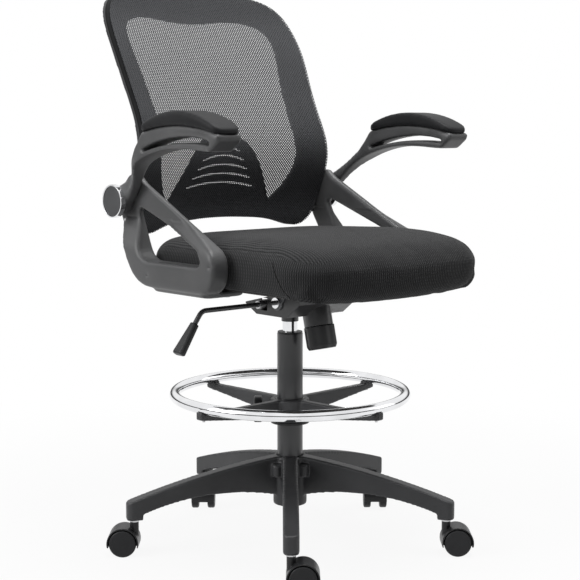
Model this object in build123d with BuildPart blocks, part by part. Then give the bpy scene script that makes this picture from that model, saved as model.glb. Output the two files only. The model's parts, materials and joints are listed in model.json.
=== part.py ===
from build123d import *
from math import cos, hypot, radians, sin, tan
import os

# Drafting chair, in millimetres. The origin is on the floor under the column, +Z is up, the chair faces -Y
# and the sitter's left is +X. A turn is an angle in degrees about the column, 0 at the front, 90 at the left.

# Fits
running_gap = 0.05
body_gap = 0.3
touch_gap = 0.02

# Casters
wheel_radius = 25.0
wheel_width = 14.5
wheel_spacing = 18.0
wheel_edge = 3.5
hood_radius = 29.0
hood_wall = 2.2
hood_drop = 7.0
hood_width = 46.0
web_thickness = 16.0
caster_trail = 20.0
caster_turns = (48.5, 48.5, -41.5, -41.5, -131.5)
stem_radius = 5.5
stem_collar_radius = 8.5
stem_collar_height = 4.0
stem_grip = 24.0
wheel_axle_radius = 3.5
wheel_axle_grip = 11.0

# Star base
first_leg_turn = -41.1
leg_count = 5
stem_circle_radius = 300.0
leg_underside = 66.0
leg_tip_reach = 14.0
leg_tip_top = 98.0
leg_middle_top = 143.0
leg_root_top = 168.0
leg_arch_height = 103.0
leg_root_bottom = 84.0
leg_width = 27.0
leg_wall = 4.5
leg_socket_depth = 30.0
leg_socket_step = 10.0
hub_radius = 31.0
hub_bottom = 71.0
hub_top = 163.0
hub_ledge = 4.0
hub_boss_radius = 11.0
hub_boss_reach = 40.0
hub_boss_bottom = 130.0
hub_boss_top = 152.0

# Column and gas lift
column_radius = 24.0
column_wall = 1.5
column_top = 396.0
column_plate = 4.0
bush_length = 90.0
bush_lip = 3.5
bearing_radius = 14.0
bearing_height = 6.0
rod_radius = 5.0
rod_shoulder_radius = 11.0
rod_shoulder_height = 4.0
rod_tail = 6.0
rod_clip_radius = 9.0
rod_clip_height = 1.5
cylinder_radius = 14.0
cylinder_wall = 1.6
cylinder_cap = 6.0
cylinder_plug = 28.0
cylinder_top = 455.0
piston_height = 10.0
lift_stroke = 200.0
lift_margin = 8.0
button_radius = 3.0
button_height = 6.0
button_depth = 14.0

# Foot ring
ring_radius = 216.0
ring_tube_radius = 10.0
ring_tube_wall = 1.5
ring_height = 283.0
ring_turn = 3.5
spoke_count = 4
spoke_width = 15.0
spoke_tip_depth = 9.0
spoke_root_depth = 36.0
spoke_tip_reach = 11.0
saddle_rise = 5.0
spider_radius = 36.0
spider_height = 42.0
sleeve_wall = 4.0
sleeve_flange = 4.0
ring_screw_radius = 2.5
ring_screw_head_height = 3.0
clamp_knob_radius = 25.0
clamp_knob_height = 16.0
clamp_knob_reach = 52.0
clamp_neck_radius = 9.0
clamp_boss_radius = 13.0
clamp_boss_reach = 44.0
clamp_screw_radius = 4.0

# Mechanism
housing_half_width = 70.0
housing_front = -104.0
housing_rear = 45.0
housing_floor = 437.0
housing_front_top = 476.0
housing_rear_top = 457.0
housing_wall = 2.5
socket_wall = 2.0
socket_bottom = 419.0
socket_top = 450.0
tilt_axle_y = -46.0
tilt_axle_z = 463.0
tilt_axle_radius = 6.0
tilt_axle_head_radius = 10.0
tilt_axle_head_height = 4.0
cup_y = -70.0
cup_z = 458.0
cup_lean = 13.5
cup_radius = 26.5
cup_wall = 2.0
cup_roof = 8.0
cup_length = 41.0
knob_radius = 28.5
knob_length = 42.0
knob_bevel = 6.0
knob_gap = 0.5
bolt_radius = 4.0
bolt_head_radius = 8.0
bolt_head_height = 5.0
bolt_reach = 66.0
spring_outer_radius = 22.0
spring_inner_radius = 14.0

# Lever
lever_y = -8.0
lever_z = 457.0
lever_rod_radius = 4.5
lever_pivot_x = -62.0
lever_bend_x = -214.0
lever_bend_radius = 18.0
lever_drop = 53.0
lever_inner_x = -46.0
lever_bush_wall = 3.0
lever_bush_outer_x = -86.0
lever_bush_inner_x = -40.0
trunnion_radius = 3.0
lug_thickness = 3.0
release_arm_thickness = 4.0
release_arm_width = 20.0
release_gap = 0.4
grip_length = 62.0
grip_overlap = 26.0
grip_top_width = 15.0
grip_top_depth = 13.0
grip_end_width = 27.0
grip_end_depth = 14.0

# Seat
board_bottom = 497.0
board_thickness = 12.0
board_half_width = 204.0
board_front = -270.0
board_rear = 150.0
board_corner = 64.0
plate_thickness = 3.0
plate_half_width = 95.0
plate_front = -125.0
plate_rear = 120.0
plate_rim_depth = 16.0
plate_rim_front = 20.0
plate_corner = 15.0
ear_half_length = 21.0
ear_radius = 14.0
ear_thickness = 2.5
seat_bolt_radius = 3.0
seat_bolt_head_radius = 6.0
seat_bolt_head_height = 4.0
seat_bolt_x = 78.0
seat_bolt_ys = (-105.0, 100.0)
cushion_half_width = 226.5
cushion_front = -312.0
cushion_rear = 171.0
cushion_bow = 11.0
cushion_crown = 592.0
cushion_fall = 20.0

# Side frames
pivot_y = 182.0
pivot_z = 644.0
frame_inner_x = 227.3
frame_thickness = 36.7
frame_boss_x = 240.0
frame_boss_radius = 27.0
frame_bottom = 495.0
frame_front = -103.0
frame_bar_top = 540.0
frame_shoulder_z = 562.0
frame_neck_z = 608.0
foot_thickness = 10.0
foot_inner_x = 165.0
foot_outer_x = 252.0
foot_front = -72.0
foot_rear = 90.0
foot_bolt_x = 188.0
foot_bolt_ys = (-45.0, 62.0)
access_hole_radius = 3.5
access_hole_depth = 6.0

# Arms
pin_radius = 6.0
arm_boss_radius = 25.5
arm_boss_width = 21.4
arm_bar_inner_x = 256.0
arm_bar_outer_x = 298.0
arm_block_inner_x = 251.0
arm_block_outer_x = 303.0
cap_radius = 28.0
cap_height = 9.0
cap_dome = 2.0
trim_width = 2.4
trim_height = 9.6
pad_half_width = 29.0
pad_crown = 24.0
pad_lip = 7.0
pad_corner = 20.0

# Back
back_sag_radius = 650.0
back_half_width = 245.0
mesh_thickness = 1.5
frame_depth = 24.0
band_top = 632.0
lumbar_gap = 12.0
lumbar_thickness = 3.5
slot_width = 4.0
slot_count = 5
slot_first_rise = 29.0
slot_pitch = 17.5
slot_first_half_length = 81.0
slot_shortening = 10.5
slot_rise = 10.0
back_bolt_radius = 3.0
back_bolt_grip = 14.0
back_bolt_places = ((164.0, 680.0), (186.0, 609.0))

# The back's middle line as (height, y), from below the lower edge to above the top edge
back_line = (
    (565.0, 227.0),
    (640.0, 207.0),
    (700.0, 185.0),
    (740.0, 181.0),
    (800.0, 199.0),
    (870.0, 233.0),
    (940.0, 268.0),
    (1000.0, 300.0),
    (1060.0, 331.0),
)

sides = (("left", 1), ("right", -1))


def outward(turn, reach):
    """Point at a turn about the column and a reach from its axis, on the floor."""
    return Vector(reach * sin(radians(turn)), -reach * cos(radians(turn)), 0)


def upright(turn):
    """Vertical plane through the column axis: x runs outwards at the turn, y runs up."""
    along = outward(turn, 1)
    return Plane(origin=(0, 0, 0), x_dir=along, z_dir=along.cross(Vector(0, 0, 1)))


def radial(turn, reach, height):
    """Plane across a turn's direction, whose normal points away from the column."""
    along = outward(turn, 1)
    return Plane(origin=along * reach + Vector(0, 0, height), x_dir=(0, 0, 1), z_dir=along)


def write(builder, name):
    """Label a finished piece and write it."""
    builder.part.label = name
    export_step(builder.part, f"parts/{name}.step")


leg_turns = [first_leg_turn + 360 / leg_count * index for index in range(leg_count)]
column_bottom = hub_bottom + hub_ledge
bearing_bottom = column_bottom + column_plate
bearing_top = bearing_bottom + bearing_height

# Star base: five deep arched legs, open underneath, round a hub that carries the column on a ledge
with BuildPart() as star_base:
    with BuildSketch(Plane.XY.offset(hub_bottom)):
        Circle(hub_radius)
    extrude(amount=hub_top - hub_bottom)
    leg_tip = stem_circle_radius + leg_tip_reach
    socket_inner = stem_circle_radius - leg_tip_reach
    for turn in leg_turns:
        with BuildSketch(upright(turn)):
            with BuildLine():
                ThreePointArc(
                    (0, leg_root_top),
                    (stem_circle_radius / 2, leg_middle_top),
                    (leg_tip, leg_tip_top),
                )
                Polyline(
                    (leg_tip, leg_tip_top),
                    (leg_tip, leg_underside),
                    (socket_inner, leg_underside),
                    (socket_inner, leg_underside + leg_socket_step),
                )
                ThreePointArc(
                    (socket_inner, leg_underside + leg_socket_step),
                    (stem_circle_radius * 0.45, leg_arch_height),
                    (0, leg_root_bottom),
                )
                Line((0, leg_root_bottom), (0, leg_root_top))
            make_face()
        extrude(amount=leg_width / 2, both=True)
    tip_edges = star_base.edges().filter_by(Axis.Z)
    tip_edges = tip_edges.filter_by(lambda e: hypot(e.center().X, e.center().Y) > stem_circle_radius)
    fillet(tip_edges, radius=leg_width * 0.4)
    for turn in leg_turns:
        with BuildSketch(upright(turn)):
            with BuildLine():
                ThreePointArc(
                    (hub_radius + leg_wall, leg_root_top - 3 * leg_wall),
                    (stem_circle_radius / 2, leg_middle_top - leg_wall),
                    (socket_inner - leg_wall, leg_tip_top + leg_wall),
                )
                Polyline(
                    (socket_inner - leg_wall, leg_tip_top + leg_wall),
                    (socket_inner - leg_wall, hub_bottom),
                    (hub_radius + leg_wall, hub_bottom),
                    (hub_radius + leg_wall, leg_root_top - 3 * leg_wall),
                )
            make_face()
        extrude(amount=leg_width / 2 - leg_wall, both=True, mode=Mode.SUBTRACT)
    with BuildSketch(Plane.XY.offset(hub_boss_bottom)):
        for turn in leg_turns:
            with Locations(outward(turn + 180 / leg_count, hub_boss_reach)):
                Circle(hub_boss_radius)
    extrude(amount=hub_boss_top - hub_boss_bottom)
    with BuildSketch(Plane.XY.offset(leg_underside)):
        for turn in leg_turns:
            with Locations(outward(turn, stem_circle_radius)):
                Circle(stem_radius + running_gap)
    extrude(amount=leg_socket_depth, mode=Mode.SUBTRACT)
    with BuildSketch(Plane.XY.offset(column_bottom)):
        Circle(column_radius + touch_gap)
    extrude(amount=leg_root_top, mode=Mode.SUBTRACT)
    with BuildSketch(Plane.XY.offset(hub_bottom)):
        Circle(column_radius - hub_ledge)
    extrude(amount=hub_ledge, mode=Mode.SUBTRACT)
write(star_base, "star_base")

# Casters: a hood over two wheels on one axle, swivelling on a stem in the leg's socket
for index, (leg_turn, trail_turn) in enumerate(zip(leg_turns, caster_turns), start=1):
    stem_foot = outward(leg_turn, stem_circle_radius)
    trail = outward(trail_turn, 1)
    wheel_centre = stem_foot + trail * caster_trail + Vector(0, 0, wheel_radius)
    axle_plane = Plane(origin=wheel_centre, x_dir=trail, z_dir=trail.cross(Vector(0, 0, 1)))
    stem_bottom = leg_underside - stem_collar_height - stem_grip
    boss_bottom = wheel_radius - hood_drop

    with BuildPart() as caster_housing:
        with BuildSketch(axle_plane):
            Circle(hood_radius)
            Circle(hood_radius - hood_wall, mode=Mode.SUBTRACT)
            with Locations((0, -hood_drop - hood_radius)):
                Rectangle(3 * hood_radius, 2 * hood_radius, mode=Mode.SUBTRACT)
        extrude(amount=hood_width / 2, both=True)
        with BuildSketch(axle_plane):
            Circle(hood_radius - hood_wall / 2)
            with Locations((0, -hood_drop - hood_radius)):
                Rectangle(3 * hood_radius, 2 * hood_radius, mode=Mode.SUBTRACT)
        extrude(amount=web_thickness / 2, both=True)
        with BuildSketch(Plane.XY.offset(boss_bottom)):
            with Locations(stem_foot):
                Circle(web_thickness / 2)
        extrude(amount=stem_bottom - boss_bottom)
        with BuildSketch(Plane.XY.offset(hood_radius + hood_wall)):
            with Locations(stem_foot):
                Circle(web_thickness / 2)
        extrude(amount=leg_underside - stem_collar_height - hood_radius - hood_wall)
        with BuildSketch(Plane.XY.offset(stem_bottom)):
            with Locations(stem_foot):
                Circle(stem_radius + touch_gap)
        extrude(amount=leg_underside, mode=Mode.SUBTRACT)
        with BuildSketch(axle_plane):
            Circle(wheel_axle_radius + touch_gap)
        extrude(amount=hood_width, both=True, mode=Mode.SUBTRACT)
    write(caster_housing, f"caster_{index}_housing")

    with BuildPart() as caster_pins:
        with BuildSketch(Plane.XY.offset(stem_bottom)):
            with Locations(stem_foot):
                Circle(stem_radius)
        extrude(amount=leg_underside + leg_socket_depth - body_gap - stem_bottom)
        with BuildSketch(Plane.XY.offset(leg_underside - stem_collar_height)):
            with Locations(stem_foot):
                Circle(stem_collar_radius)
        extrude(amount=stem_collar_height)
        with BuildSketch(axle_plane):
            Circle(wheel_axle_radius)
        extrude(amount=wheel_spacing / 2 + wheel_axle_grip, both=True)
    write(caster_pins, f"caster_{index}_pins")

    for side_name, side in sides:
        with BuildPart() as wheel:
            with BuildSketch(axle_plane.offset(side * wheel_spacing / 2)):
                Circle(wheel_radius)
            extrude(amount=side * wheel_width)
            fillet(wheel.edges().filter_by(GeomType.CIRCLE), radius=wheel_edge)
            with BuildSketch(axle_plane.offset(side * wheel_spacing / 2)):
                Circle(wheel_axle_radius + running_gap)
            extrude(amount=side * (wheel_axle_grip + body_gap), mode=Mode.SUBTRACT)
        write(wheel, f"caster_{index}_{side_name}_wheel")

# Column: a tube with a plate across its foot, a guide bush in its mouth and a bearing under the rod
with BuildPart() as column_tube:
    with BuildSketch(Plane.XY.offset(column_bottom)):
        Circle(column_radius)
    extrude(amount=column_top - column_bottom)
    with BuildSketch(Plane.XY.offset(bearing_bottom)):
        Circle(column_radius - column_wall)
    extrude(amount=column_top - bearing_bottom, mode=Mode.SUBTRACT)
    with BuildSketch(Plane.XY.offset(column_bottom)):
        Circle(rod_radius + running_gap)
    extrude(amount=column_plate, mode=Mode.SUBTRACT)
write(column_tube, "column_tube")

with BuildPart() as column_guide_bush:
    with BuildSketch(Plane.XY.offset(column_top - bush_length)):
        Circle(column_radius - column_wall - touch_gap)
    extrude(amount=bush_length)
    with BuildSketch(Plane.XY.offset(column_top)):
        Circle(column_radius - column_wall / 2)
    extrude(amount=bush_lip)
    with BuildSketch(Plane.XY.offset(column_top - bush_length)):
        Circle(cylinder_radius + running_gap)
    extrude(amount=bush_length + bush_lip, mode=Mode.SUBTRACT)
write(column_guide_bush, "column_guide_bush")

with BuildPart() as thrust_bearing:
    with BuildSketch(Plane.XY.offset(bearing_bottom)):
        Circle(bearing_radius)
        Circle(rod_radius + running_gap, mode=Mode.SUBTRACT)
    extrude(amount=bearing_height)
write(thrust_bearing, "thrust_bearing")

# Gas lift: a rod that stands on the bearing, and a cylinder that slides over it
cylinder_bottom = bearing_top + rod_shoulder_height + lift_margin
piston_bottom = cylinder_bottom + cylinder_cap + lift_stroke + lift_margin
cylinder_bore = cylinder_radius - cylinder_wall

with BuildPart() as piston_rod:
    with BuildSketch(Plane.XY.offset(column_bottom - rod_tail)):
        Circle(rod_radius)
    extrude(amount=piston_bottom - column_bottom + rod_tail)
    with BuildSketch(Plane.XY.offset(bearing_top)):
        Circle(rod_shoulder_radius)
    extrude(amount=rod_shoulder_height)
    with BuildSketch(Plane.XY.offset(piston_bottom)):
        Circle(cylinder_bore - running_gap)
    extrude(amount=piston_height)
write(piston_rod, "piston_rod")

with BuildPart() as rod_clip:
    with BuildSketch(Plane.XY.offset(column_bottom - running_gap - rod_clip_height)):
        Circle(rod_clip_radius)
        Circle(rod_radius + touch_gap, mode=Mode.SUBTRACT)
    extrude(amount=rod_clip_height)
write(rod_clip, "rod_clip")

with BuildPart() as gas_cylinder:
    with BuildSketch(Plane.XY.offset(cylinder_bottom)):
        Circle(cylinder_radius)
    extrude(amount=cylinder_top - cylinder_bottom)
    with BuildSketch(Plane.XY.offset(cylinder_bottom + cylinder_cap)):
        Circle(cylinder_bore)
    extrude(amount=cylinder_top - cylinder_plug - cylinder_bottom - cylinder_cap, mode=Mode.SUBTRACT)
    with BuildSketch(Plane.XY.offset(cylinder_bottom)):
        Circle(rod_radius + running_gap)
    extrude(amount=cylinder_cap, mode=Mode.SUBTRACT)
    with BuildSketch(Plane.XY.offset(cylinder_top - cylinder_plug)):
        Circle(button_radius + running_gap)
    extrude(amount=cylinder_plug, mode=Mode.SUBTRACT)
write(gas_cylinder, "gas_cylinder")

with BuildPart() as release_button:
    with BuildSketch(Plane.XY.offset(cylinder_top - button_depth)):
        Circle(button_radius)
    extrude(amount=button_depth + button_height)
    fillet(release_button.faces().sort_by(Axis.Z)[-1].edges(), radius=button_radius / 4)
write(release_button, "release_button")

# Foot ring: a sleeve on the column, a spider that turns on it, a ring on the spoke ends and a clamp knob
spider_top = ring_height - ring_tube_radius - body_gap
spider_bottom = spider_top - spider_height
sleeve_radius = column_radius + sleeve_wall
spoke_tip = ring_radius + spoke_tip_reach
clamp_turn = ring_turn - 135
clamp_height = spider_top - spider_height / 2

with BuildPart() as foot_ring_sleeve:
    with BuildSketch(Plane.XY.offset(spider_bottom - sleeve_flange)):
        Circle(spider_radius)
    extrude(amount=sleeve_flange)
    with BuildSketch(Plane.XY.offset(spider_bottom)):
        Circle(sleeve_radius)
    extrude(amount=spider_height)
    with BuildSketch(Plane.XY.offset(spider_bottom - sleeve_flange)):
        Circle(column_radius + running_gap)
    extrude(amount=spider_height + sleeve_flange, mode=Mode.SUBTRACT)
write(foot_ring_sleeve, "foot_ring_sleeve")

with BuildPart() as foot_ring_spider:
    with BuildSketch(Plane.XY.offset(spider_bottom)):
        Circle(spider_radius)
    extrude(amount=spider_height)
    for index in range(spoke_count):
        turn = ring_turn + 360 / spoke_count * index
        with BuildSketch(upright(turn)):
            Polygon(
                (sleeve_radius, spider_top),
                (ring_radius - spoke_tip_reach, spider_top),
                (ring_radius - spoke_tip_reach, spider_top + saddle_rise),
                (spoke_tip, spider_top + saddle_rise),
                (spoke_tip, spider_top - spoke_tip_depth),
                (sleeve_radius, spider_top - spoke_root_depth),
                align=None,
            )
        extrude(amount=spoke_width / 2, both=True)
    with BuildSketch(radial(clamp_turn, sleeve_radius, clamp_height)):
        Circle(clamp_boss_radius)
    extrude(amount=clamp_boss_reach - sleeve_radius)
    with Locations((0, 0, ring_height)):
        Torus(ring_radius, ring_tube_radius + touch_gap, mode=Mode.SUBTRACT)
    with BuildSketch(Plane.XY.offset(spider_bottom)):
        Circle(sleeve_radius + running_gap)
    extrude(amount=spider_height, mode=Mode.SUBTRACT)
    with BuildSketch(radial(clamp_turn, sleeve_radius, clamp_height)):
        Circle(clamp_screw_radius + running_gap)
    extrude(amount=clamp_boss_reach, mode=Mode.SUBTRACT)
    with BuildSketch(Plane.XY.offset(spider_bottom)):
        with PolarLocations(ring_radius, spoke_count, start_angle=ring_turn - 90):
            Circle(ring_screw_radius + touch_gap)
    extrude(amount=ring_height - spider_bottom, mode=Mode.SUBTRACT)
write(foot_ring_spider, "foot_ring_spider")

with BuildPart() as foot_ring:
    with BuildSketch(Plane.XZ):
        with Locations((ring_radius, ring_height)):
            Circle(ring_tube_radius)
            Circle(ring_tube_radius - ring_tube_wall, mode=Mode.SUBTRACT)
    revolve(axis=Axis.Z)
    with BuildSketch(Plane.XY.offset(ring_height - ring_tube_radius - body_gap)):
        with PolarLocations(ring_radius, spoke_count, start_angle=ring_turn - 90):
            Circle(ring_screw_radius + touch_gap)
    extrude(amount=ring_tube_radius, mode=Mode.SUBTRACT)
write(foot_ring, "foot_ring")

screw_seat = spider_top - spoke_tip_depth - spoke_tip_reach * tan(radians(8))
with BuildPart() as foot_ring_screws:
    with BuildSketch(Plane.XY.offset(screw_seat - ring_screw_head_height)):
        with PolarLocations(ring_radius, spoke_count, start_angle=ring_turn - 90):
            Circle(ring_screw_radius)
    extrude(amount=ring_height - ring_tube_radius + 2 * ring_tube_wall - screw_seat + ring_screw_head_height)
write(foot_ring_screws, "foot_ring_screws")

with BuildPart() as foot_ring_knob:
    with BuildSketch(radial(clamp_turn, sleeve_radius + body_gap, clamp_height)):
        Circle(clamp_screw_radius)
    extrude(amount=clamp_knob_reach - sleeve_radius)
    with BuildSketch(radial(clamp_turn, clamp_boss_reach + body_gap, clamp_height)):
        Circle(clamp_neck_radius)
    extrude(amount=clamp_knob_reach - clamp_boss_reach)
    with BuildSketch(radial(clamp_turn, clamp_knob_reach, clamp_height)):
        Circle(clamp_knob_radius)
    extrude(amount=clamp_knob_height)
    rims = foot_ring_knob.edges().filter_by(GeomType.CIRCLE)
    fillet(rims.filter_by(lambda e: e.radius > clamp_knob_radius - touch_gap), radius=clamp_knob_height / 5)
write(foot_ring_knob, "foot_ring_knob")

# Mechanism housing: a pressed pan with a socket for the cylinder, a leaning spring cup and lugs for the lever
cup_plane = Plane(
    origin=(0, cup_y, cup_z),
    x_dir=(1, 0, 0),
    z_dir=(0, -sin(radians(cup_lean)), -cos(radians(cup_lean))),
)
lug_reach = lever_rod_radius + lever_bush_wall + body_gap
bush_radius = lever_rod_radius + lever_bush_wall

with BuildPart() as mechanism_housing:
    with BuildSketch(Plane.YZ):
        Polygon(
            (housing_front, housing_front_top),
            (housing_front, tilt_axle_z),
            (cup_y, housing_floor),
            (cylinder_radius, housing_floor),
            (housing_rear, housing_rear_top - housing_wall),
            (housing_rear, housing_rear_top),
            (tilt_axle_y + tilt_axle_head_radius, housing_front_top),
            align=None,
        )
    extrude(amount=housing_half_width, both=True)
    open_faces = mechanism_housing.faces().filter_by(lambda f: f.normal_at().Z > 0.5)
    offset(amount=-housing_wall, openings=open_faces)
    with BuildSketch(Plane.XY.offset(socket_bottom)):
        Circle(cylinder_radius + socket_wall)
    extrude(amount=socket_top - socket_bottom)
    with BuildSketch(cup_plane):
        Circle(cup_radius)
    extrude(amount=cup_length)
    with BuildSketch(cup_plane.offset(cup_roof)):
        Circle(cup_radius - cup_wall)
    extrude(amount=cup_length, mode=Mode.SUBTRACT)
    with BuildSketch(cup_plane):
        Circle(bolt_radius + touch_gap)
    extrude(amount=cup_roof, mode=Mode.SUBTRACT)
    with BuildSketch(Plane.XY.offset(socket_bottom)):
        Circle(cylinder_radius + touch_gap)
    extrude(amount=housing_front_top - socket_bottom, mode=Mode.SUBTRACT)
    with BuildSketch(Plane.YZ):
        with Locations((tilt_axle_y, tilt_axle_z)):
            Circle(tilt_axle_radius + touch_gap)
    extrude(amount=housing_half_width, both=True, mode=Mode.SUBTRACT)
    with BuildSketch(Plane.YZ.offset(-housing_half_width)):
        with Locations((lever_y, lever_z)):
            Rectangle(2 * bush_radius + 2, 2 * bush_radius + 8)
    extrude(amount=housing_wall, mode=Mode.SUBTRACT)
    for lug_side in (-1, 1):
        lug_start = lever_y + lug_side * lug_reach
        with BuildSketch(Plane.XZ.offset(-lug_start)):
            with Locations((lever_pivot_x, lever_z)):
                Rectangle(2 * trunnion_radius + 2 * lug_thickness, 2 * trunnion_radius + 2 * lug_thickness)
            with Locations((lever_pivot_x, (lever_z + housing_floor) / 2)):
                Rectangle(2 * trunnion_radius + 2 * lug_thickness, lever_z - housing_floor)
            with Locations((lever_pivot_x, lever_z)):
                Circle(trunnion_radius + running_gap, mode=Mode.SUBTRACT)
        extrude(amount=-lug_side * lug_thickness)
write(mechanism_housing, "mechanism_housing")

with BuildPart() as tilt_axle:
    axle_end = housing_half_width + body_gap + ear_thickness + body_gap
    with BuildSketch(Plane.YZ):
        with Locations((tilt_axle_y, tilt_axle_z)):
            Circle(tilt_axle_radius)
    extrude(amount=axle_end, both=True)
    for side_name, side in sides:
        with BuildSketch(Plane.YZ.offset(side * axle_end)):
            with Locations((tilt_axle_y, tilt_axle_z)):
                Circle(tilt_axle_head_radius)
        extrude(amount=side * tilt_axle_head_height)
write(tilt_axle, "tilt_axle")

with BuildPart() as tension_bolt:
    with BuildSketch(cup_plane):
        Circle(bolt_radius)
    extrude(amount=bolt_reach)
    with BuildSketch(cup_plane):
        RegularPolygon(bolt_head_radius, 6)
    extrude(amount=-bolt_head_height)
write(tension_bolt, "tension_bolt")

with BuildPart() as tilt_spring:
    with BuildSketch(cup_plane.offset(cup_roof)):
        Circle(spring_outer_radius)
        Circle(spring_inner_radius, mode=Mode.SUBTRACT)
    extrude(amount=cup_length - cup_roof)
write(tilt_spring, "tilt_spring")

with BuildPart() as tension_knob:
    with BuildSketch(cup_plane.offset(cup_length + knob_gap)):
        Circle(knob_radius)
    extrude(amount=knob_length)
    chamfer(tension_knob.faces().sort_by(Axis.Z)[0].edges(), length=knob_bevel, length2=knob_bevel / 2)
    with BuildSketch(cup_plane.offset(cup_length + knob_gap)):
        Circle(bolt_radius + running_gap)
    extrude(amount=bolt_reach - cup_length + body_gap, mode=Mode.SUBTRACT)
write(tension_knob, "tension_knob")

# Lever: a rod that slides in a bush, whose arm tips on trunnions and presses the release button
release_arm_bottom = cylinder_top + button_height + release_gap

with BuildPart() as release_arm:
    with BuildSketch(Plane.YZ.offset(lever_bush_outer_x)):
        with Locations((lever_y, lever_z)):
            Circle(bush_radius)
    extrude(amount=lever_bush_inner_x - lever_bush_outer_x)
    with BuildSketch(Plane.XY.offset(release_arm_bottom)):
        with Locations(((lever_bush_inner_x - bush_radius + button_radius) / 2, lever_y / 2)):
            Rectangle(button_radius - lever_bush_inner_x + bush_radius, release_arm_width)
    extrude(amount=release_arm_thickness)
    with BuildSketch(Plane.XZ.offset(-lever_y)):
        with Locations((lever_pivot_x, lever_z)):
            Circle(trunnion_radius)
    extrude(amount=lug_reach + lug_thickness, both=True)
    with BuildSketch(Plane.YZ.offset(lever_bush_outer_x)):
        with Locations((lever_y, lever_z)):
            Circle(lever_rod_radius + running_gap)
    extrude(amount=lever_bush_inner_x - lever_bush_outer_x, mode=Mode.SUBTRACT)
write(release_arm, "release_arm")

lever_slope = Vector(-0.59, 0, -0.807)
lever_bend = Vector(lever_bend_x, lever_y, lever_z)
lever_end = lever_bend + lever_slope * lever_drop
lever_tip_plane = Plane(origin=lever_end, x_dir=(0, 1, 0), z_dir=lever_slope)

with BuildPart() as lever_rod:
    with BuildLine():
        FilletPolyline(
            (lever_inner_x, lever_y, lever_z),
            lever_bend,
            lever_end,
            radius=lever_bend_radius,
        )
    with BuildSketch(Plane(origin=(lever_inner_x, lever_y, lever_z), z_dir=(-1, 0, 0))):
        Circle(lever_rod_radius)
    sweep()
write(lever_rod, "lever_rod")

with BuildPart() as lever_grip:
    with BuildSketch(lever_tip_plane.offset(-grip_overlap)):
        RectangleRounded(grip_top_width, grip_top_depth, grip_top_depth * 0.4)
    with BuildSketch(lever_tip_plane.offset(grip_length - grip_overlap)):
        RectangleRounded(grip_end_width, grip_end_depth, grip_end_depth * 0.4)
    loft()
    fillet(lever_grip.faces().sort_by(Axis.Z)[0].edges(), radius=grip_end_depth / 4)
    with BuildSketch(lever_tip_plane.offset(-grip_overlap)):
        Circle(lever_rod_radius + touch_gap)
    extrude(amount=grip_overlap, mode=Mode.SUBTRACT)
write(lever_grip, "lever_grip")

# Seat plate: a pressing under the board, with ears down to the tilt axle and turned-down rear rims
ear_start = housing_half_width + body_gap
plate_bottom = board_bottom - plate_thickness

with BuildPart() as seat_plate:
    with BuildSketch(Plane.XY.offset(plate_bottom)):
        with Locations((0, (plate_front + plate_rear) / 2)):
            RectangleRounded(2 * plate_half_width, plate_rear - plate_front, plate_corner)
    extrude(amount=plate_thickness)
    for side_name, side in sides:
        with BuildSketch(Plane.YZ.offset(side * ear_start)):
            Polygon(
                (tilt_axle_y - 2 * ear_half_length, plate_bottom),
                (tilt_axle_y - ear_radius, tilt_axle_z),
                (tilt_axle_y + ear_radius, tilt_axle_z),
                (tilt_axle_y + ear_half_length, plate_bottom),
                align=None,
            )
            with Locations((tilt_axle_y, tilt_axle_z)):
                Circle(ear_radius)
                Circle(tilt_axle_radius + running_gap, mode=Mode.SUBTRACT)
        extrude(amount=side * ear_thickness)
        with BuildSketch(Plane.XY.offset(plate_bottom)):
            with Locations((side * (plate_half_width - ear_thickness / 2), plate_rim_front + plate_corner)):
                rim_length = plate_rear - plate_rim_front - plate_corner
                Rectangle(ear_thickness, rim_length, align=(Align.CENTER, Align.MIN))
        extrude(amount=-plate_rim_depth)
    with BuildSketch(Plane.XY.offset(plate_bottom)):
        for bolt_y in seat_bolt_ys:
            with Locations((-seat_bolt_x, bolt_y), (seat_bolt_x, bolt_y)):
                Circle(seat_bolt_radius + touch_gap)
    extrude(amount=plate_thickness, mode=Mode.SUBTRACT)
write(seat_plate, "seat_plate")

with BuildPart() as seat_board:
    with BuildSketch(Plane.XY.offset(board_bottom)):
        with Locations((0, (board_front + board_rear) / 2)):
            RectangleRounded(2 * board_half_width, board_rear - board_front, board_corner)
    extrude(amount=board_thickness)
    with BuildSketch(Plane.XY.offset(board_bottom)):
        for bolt_y in seat_bolt_ys:
            with Locations((-seat_bolt_x, bolt_y), (seat_bolt_x, bolt_y)):
                Circle(seat_bolt_radius + touch_gap)
        for bolt_y in foot_bolt_ys:
            with Locations((-foot_bolt_x, bolt_y), (foot_bolt_x, bolt_y)):
                Circle(seat_bolt_radius + touch_gap)
    extrude(amount=board_thickness * 0.75, mode=Mode.SUBTRACT)
write(seat_board, "seat_board")

with BuildPart() as seat_bolts:
    for bolt_y in seat_bolt_ys:
        with BuildSketch(Plane.XY.offset(plate_bottom)):
            with Locations((-seat_bolt_x, bolt_y), (seat_bolt_x, bolt_y)):
                Circle(seat_bolt_radius)
        extrude(amount=plate_thickness + board_thickness * 0.7)
        with BuildSketch(Plane.XY.offset(plate_bottom)):
            with Locations((-seat_bolt_x, bolt_y), (seat_bolt_x, bolt_y)):
                Circle(seat_bolt_head_radius)
        extrude(amount=-seat_bolt_head_height)
write(seat_bolts, "seat_bolts")

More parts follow.
